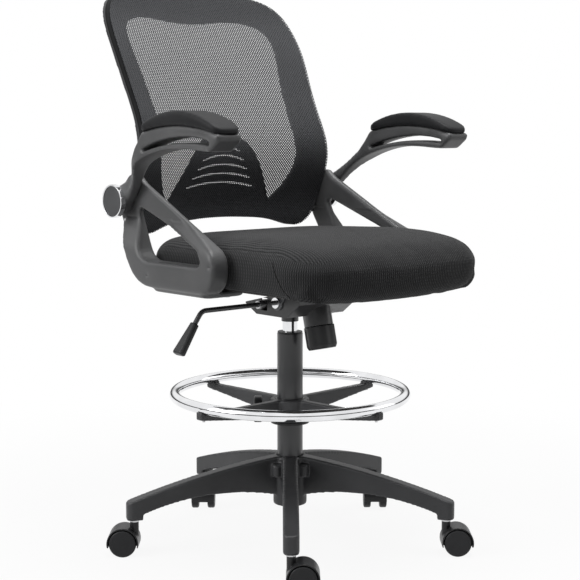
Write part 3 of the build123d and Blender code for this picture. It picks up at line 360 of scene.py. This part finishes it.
def inflate(piece, pressure, cap, resting):
    """Blows the cover up over its foam as cloth. No point moves more than the cap, and resting ones stay."""
    start = [vert.co.copy() for vert in piece.data.vertices]
    cloth = piece.modifiers.new("cover", "CLOTH")
    cloth.settings.use_pressure = True
    cloth.settings.uniform_pressure_force = pressure
    cloth.settings.effector_weights.gravity = 0.0
    cloth.settings.quality = 4
    cloth.settings.tension_stiffness = 25.0
    scene = bpy.context.scene
    for step in range(1, cloth_steps + 1):
        scene.frame_set(step)
    graph = bpy.context.evaluated_depsgraph_get()
    blown = piece.evaluated_get(graph).data
    moved = [blown.vertices[i].co.copy() for i in range(len(start))]
    piece.modifiers.clear()
    scene.frame_set(1)
    for vert, old, new in zip(piece.data.vertices, start, moved):
        shift = Vector() if resting(old) else new - old
        if shift.length > cap:
            shift = shift * (cap / shift.length)
        vert.co = old + shift


def on_board(point):
    """Whether a point of the cover lies in the pocket round the board."""
    near = 0.008
    inside = all(board_low[i] - near < point[i] < board_high[i] + near for i in range(2))
    return inside and point.z < board_high.z + near


cushion = eased("seat_cushion", "seat_cushion_cover", 0.006, 4, -0.001)
inflate(cushion, 4.0, 0.006, on_board)
for vert in cushion.data.vertices:
    height = vert.co.z - seat_low.z
    fore = ramp(vert.co.y, -0.18, -0.28)
    inside = 1 - (vert.co.x / seat_high.x) ** 4
    drop = front_drop * fore * inside * ramp(height, 0.05, 0)
    fall = front_fall * ramp(vert.co.y, -0.1, -0.31) * ramp(height, 0.03, 0.07)
    vert.co.z = max(vert.co.z, seat_low.z) - max(0, drop) - fall
    vert.co.x = max(seat_low.x, min(seat_high.x, vert.co.x))
bm = bmesh.new()
bm.from_mesh(cushion.data)
loose = [vert for vert in bm.verts if not on_board(vert.co)]
for _ in range(smooth_rounds):
    bmesh.ops.smooth_vert(bm, verts=loose, factor=0.5, use_axis_x=True, use_axis_y=True, use_axis_z=True)
bm.to_mesh(cushion.data)
bm.free()
panel_places(cushion)
rounding = cushion.modifiers.new("fine", "SUBSURF")
rounding.levels = 1
rounding.render_levels = 1
seat_knit = knitted("seat_knit", (0.0088, 0.0089, 0.0094), (0.043, 0.0434, 0.0445), 0.0046, 0.0058)
fit(cushion, seat_knit, "seat", "seat_fabric", "seat_cushion")

# Side frames: round-edged nylon loops bolted on beside the seat, carrying the arm pivots and the back. They
# stay back from the arms at the pivots, and from the cushion lower down.
pivot_level = 0.615
pivot_face = 0.2401
board_level = 0.4975
cushion_side = 0.2273
frame_nylon = moulded("frame_nylon", (0.06, 0.0605, 0.062), 0.42)
for side in ("left", "right"):
    loop = eased(f"{side}_side_frame", f"{side}_side_frame_moulding", 0.0022, 34, 0.0012)
    for vert in loop.data.vertices:
        if vert.co.z > pivot_level:
            vert.co.x = max(-pivot_face, min(pivot_face, vert.co.x))
        elif abs(vert.co.x) < cushion_side and vert.co.z > board_level:
            vert.co.x = math.copysign(cushion_side, vert.co.x)
    fit(loop, frame_nylon, "seat", "black_nylon", f"{side}_side_frame")

# Arm pivots: plastic caps pressed over the pins, each in a chromed trim ring. They are finer in grain than
# the frames, and round at the edge.
cap_plastic = moulded("cap_plastic", (0.04, 0.041, 0.043), 0.5, grain=1200.0, round_edge=0.003)
dress(cap_plastic, "pivot_caps")
dress(bright_chrome, "pivot_trim_rings")

# Armrests: nylon bands that fork round a slot, of the same moulding as the side frames, with pads of skinned
# foam on top. The pads' skin has a fine leather-like grain.
pad_black = (0.009, 0.0092, 0.0101)
pad_skin = moulded("pad_skin", pad_black, 0.55, grain=420.0, bump=0.3, round_edge=0.0, gloss=0.14)
for side in ("left", "right"):
    arm = eased(f"{side}_armrest", f"{side}_armrest_moulding", 0.0019, 30, 0.0011)
    fit(arm, frame_nylon, f"{side}_arm", "black_nylon", f"{side}_armrest")
    pad = eased(f"{side}_arm_pad", f"{side}_arm_pad_cover", 0.003, 14, 0.0006)
    fit(pad, pad_skin, f"{side}_arm", "pad_foam", f"{side}_arm_pad")

# Back frame: a nylon ring behind the net, with a groove round its side where the net's edge is pressed in.
# Its front rim is wrapped in the net's hem, so it is darker and duller there than on the shell behind.
bm = bmesh.new()
bm.from_mesh(nodes["back_frame"].data)
bmesh.ops.delete(bm, geom=[face for face in bm.faces if face.normal.y > -0.5], context="FACES")
front_face = BVHTree.FromBMesh(bm)
bm.free()
rim = eased("back_frame", "back_frame_moulding", 0.003, 6, 0.0002)
depth_mark = rim.data.attributes.new("depth", "FLOAT", "POINT")
for vert in rim.data.vertices:
    depth_mark.data[vert.index].value = front_face.find_nearest(vert.co)[3]
rim_nylon, shade, place, shader = new_material("rim_nylon", Specular_IOR_Level=0.15)
depth = shade.node("Attribute", out="Fac", attribute_name="depth")
grain = shade.node("TexNoise", inputs={"Vector": place, "Scale": 900.0, "Detail": 2.0})
broad = shade.node("TexNoise", inputs={"Vector": place, "Scale": 9.0, "Detail": 3.0})
groove_start = (0.0072, 0.0085)
shell_start = (0.0105, 0.0125)
shell = depth.between(*shell_start)
groove_dent_and_shade = depth.between(*groove_start) * (1 - shell)
plain = broad.mix((0.034, 0.0345, 0.0365, 1), (0.05, 0.0505, 0.0525, 1))
hem = shade.node("Mix", out=2, data_type="RGBA", inputs={0: shell, 6: (0.008, 0.0082, 0.0088, 1), 7: plain})
# Painted shade: the groove round the rim's side is painted near-black for the shade in the recess.
tint = shade.node("Mix", out=2, data_type="RGBA", inputs={0: groove_dent_and_shade, 6: hem, 7: (0.002, 0.002, 0.002, 1)})
normal = shade.node("Bump", inputs={"Strength": 0.15, "Distance": 0.0004, "Height": grain - groove_dent_and_shade * 6.0})
feed(shade, shader, Base_Color=tint, Roughness=0.8 - shell * 0.38, Normal=normal)
fit(rim, rim_nylon, "seat", "black_nylon", "back_frame")
lumbar_plastic = moulded("lumbar_plastic", (0.004, 0.0041, 0.0045), 0.55, round_edge=0.0008, gloss=0.1)
dress(lumbar_plastic, "lumbar_panel")

# Back net: one sheet of open warp-knitted polyester, stretched over the frame's whole front, with two rows
# of small eyes to a course. White shows through it in the window, and the dark rim elsewhere.
net = bpy.data.objects.new("back_net", nodes["back_mesh"].data.copy())
bpy.context.scene.collection.objects.link(net)
net.data.materials.clear()
bm = bmesh.new()
bm.from_mesh(net.data)
bmesh.ops.remove_doubles(bm, verts=bm.verts, dist=1e-5)
bmesh.ops.delete(bm, geom=[face for face in bm.faces if face.normal.y > -0.35], context="FACES")
bm.to_mesh(net.data)
bm.free()
net.data.shade_smooth()
back_net, shade, place, shader = new_material("back_net", Roughness=0.75, Specular_IOR_Level=0.12)
eye_width = 0.0052
eye_height = 0.0058
side, high = (shade.node("SeparateXYZ", out=i, inputs={"Vector": place}) for i in (0, 2))
across = (side * (2 * math.pi / eye_width)).sin()
along = (high * (2 * math.pi / eye_height)).sin()
eyes = across * along
hole = eyes.between(0.47, 0.57)
thread = shade.node("TexNoise", inputs={"Vector": place, "Scale": 900.0, "Detail": 2.0})
normal = shade.node("Bump", inputs={"Strength": 0.5, "Distance": 0.0005, "Height": eyes})
tint = thread.between(0.3, 0.7).mix((0.045, 0.046, 0.049, 1), (0.096, 0.098, 0.103, 1))
feed(shade, shader, Base_Color=tint, Alpha=1 - hole, Normal=normal)
fit(net, back_net, "seat", "back_weave", "back_mesh")

# Studio: a pale floor, a white surround and broad soft lamps, with the camera where the photograph was taken.
# Floor and surround are white to the eye and in the chrome, but lend the chair little light.
floor_mesh = bpy.data.meshes.new("studio_floor")
bm = bmesh.new()
bmesh.ops.create_grid(bm, x_segments=1, y_segments=1, size=14.0)
bm.to_mesh(floor_mesh)
bm.free()
floor = bpy.data.objects.new("studio_floor", floor_mesh)
bpy.context.scene.collection.objects.link(floor)
pale = (0.6, 0.6, 0.6, 1)
floor_white, shade, floor_place, shader = new_material("floor_white", Base_Color=pale, Roughness=0.9)
tree = floor_white.node_tree
seen = shade.node("LightPath", out="Is Camera Ray") + shade.node("LightPath", out="Is Glossy Ray")
glow = shade.node("Emission", inputs={"Color": (1, 1, 1, 1), "Strength": 1.0})
far = shade.node("VectorMath", out="Value", operation="LENGTH", inputs={0: floor_place}).between(0.55, 1.5)
shadow_share = 0.08
white = (seen * (far * shadow_share + (1 - shadow_share))).clamp()
blend = shade.node("MixShader", inputs={0: white, 1: Shade(tree, shader.outputs[0]), 2: glow})
tree.links.new(blend.socket, tree.nodes["Material Output"].inputs["Surface"])
floor_mesh.materials.append(floor_white)

world = bpy.data.worlds.new("studio")
bpy.context.scene.world = world
world.use_nodes = True
tree = world.node_tree
shade = Shade(tree)
seen = shade.node("LightPath", out="Is Camera Ray") + shade.node("LightPath", out="Is Transmission Ray")
aim = shade.node("TexCoord", out="Generated")
overhead = shade.node("SeparateXYZ", out=2, inputs={"Vector": aim}).between(0.1, 0.24)
seen = (seen + shade.node("LightPath", out="Is Glossy Ray") * overhead).clamp()
backdrop = tree.nodes["Background"]
backdrop.inputs["Color"].default_value = (1, 1, 1, 1)
room_light = 0.08
tree.links.new((seen * (1 - room_light) + room_light).socket, backdrop.inputs["Strength"])


def lamp(name, place, aim, size, watts):
    """A square soft box that points at a spot."""
    light = bpy.data.lights.new(name, "AREA")
    light.size = size
    light.energy = watts
    holder = bpy.data.objects.new(name, light)
    holder.location = place
    holder.rotation_euler = (Vector(aim) - Vector(place)).to_track_quat("-Z", "Y").to_euler()
    bpy.context.scene.collection.objects.link(holder)


lamp("key_lamp", (-2.9, 0.9, 1.9), (0, 0, 0.6), 1.8, 75)
lamp("fill_lamp", (2.4, -1.6, 1.2), (0, 0, 0.5), 1.6, 7)
lamp("top_lamp", (0.1, -0.3, 3.2), (0, 0, 0.5), 1.8, 105)

view = bpy.data.cameras.new("photo_camera")
photo_width = 580
focal_pixels = 1390
view.sensor_width = 36.0
view.lens = focal_pixels / photo_width * view.sensor_width
camera = bpy.data.objects.new("photo_camera", view)
azimuth = math.radians(-41.5)
height = math.radians(6.73)
target = Vector((0, 0, 0.4767))
reach = 2.5884
level = math.cos(height)
offset = Vector((math.sin(azimuth) * level, -math.cos(azimuth) * level, math.sin(height)))
camera.location = target + offset * reach
camera.rotation_euler = (target - camera.location).to_track_quat("-Z", "Y").to_euler()
bpy.context.scene.collection.objects.link(camera)
bpy.context.scene.camera = camera
bpy.context.scene.view_settings.view_transform = "Standard"
